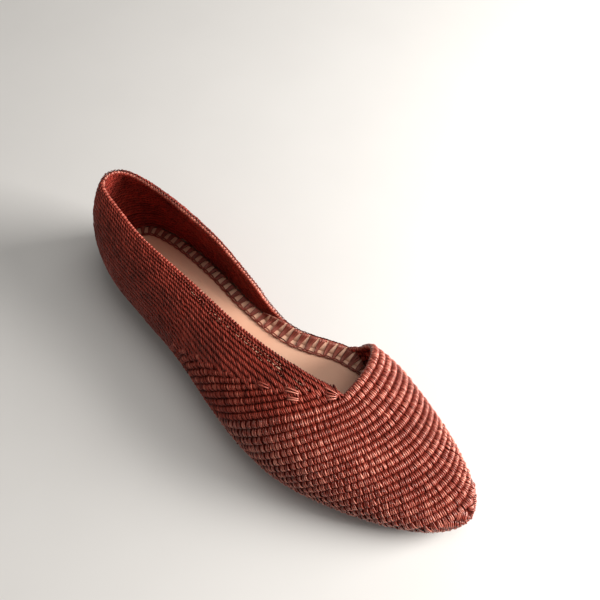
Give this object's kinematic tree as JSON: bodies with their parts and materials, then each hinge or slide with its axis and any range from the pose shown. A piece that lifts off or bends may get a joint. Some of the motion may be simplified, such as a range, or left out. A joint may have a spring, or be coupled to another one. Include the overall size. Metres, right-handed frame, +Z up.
{
  "type": "flat shoe",
  "caption": "Right pointed-toe flat shoe with a crocheted raffia upper, an inner side cut open at the waist, a laced leather insole and a thin sole with a low heel.",
  "frame": {"origin": "on the floor, under the middle of the shoe's box", "axes": "+Y along the shoe towards the toe, +X to the outer side of a right foot, +Z up"},
  "size_m": [0.0894, 0.2622, 0.0668],
  "materials": {
    "raffia_upper": "crocheted raffia strands, rust red, satin",
    "raffia_lacing": "twisted raffia cord, rust red, satin",
    "insole_leather": "smooth nude leather with fine grain",
    "sole_rubber": "matt moulded rubber"
  },
  "bodies": {
    "root": {"upper": "raffia_upper", "rim_lacing": "raffia_lacing", "insole": "insole_leather", "outsole": "sole_rubber"}
  },
  "joints": []
}
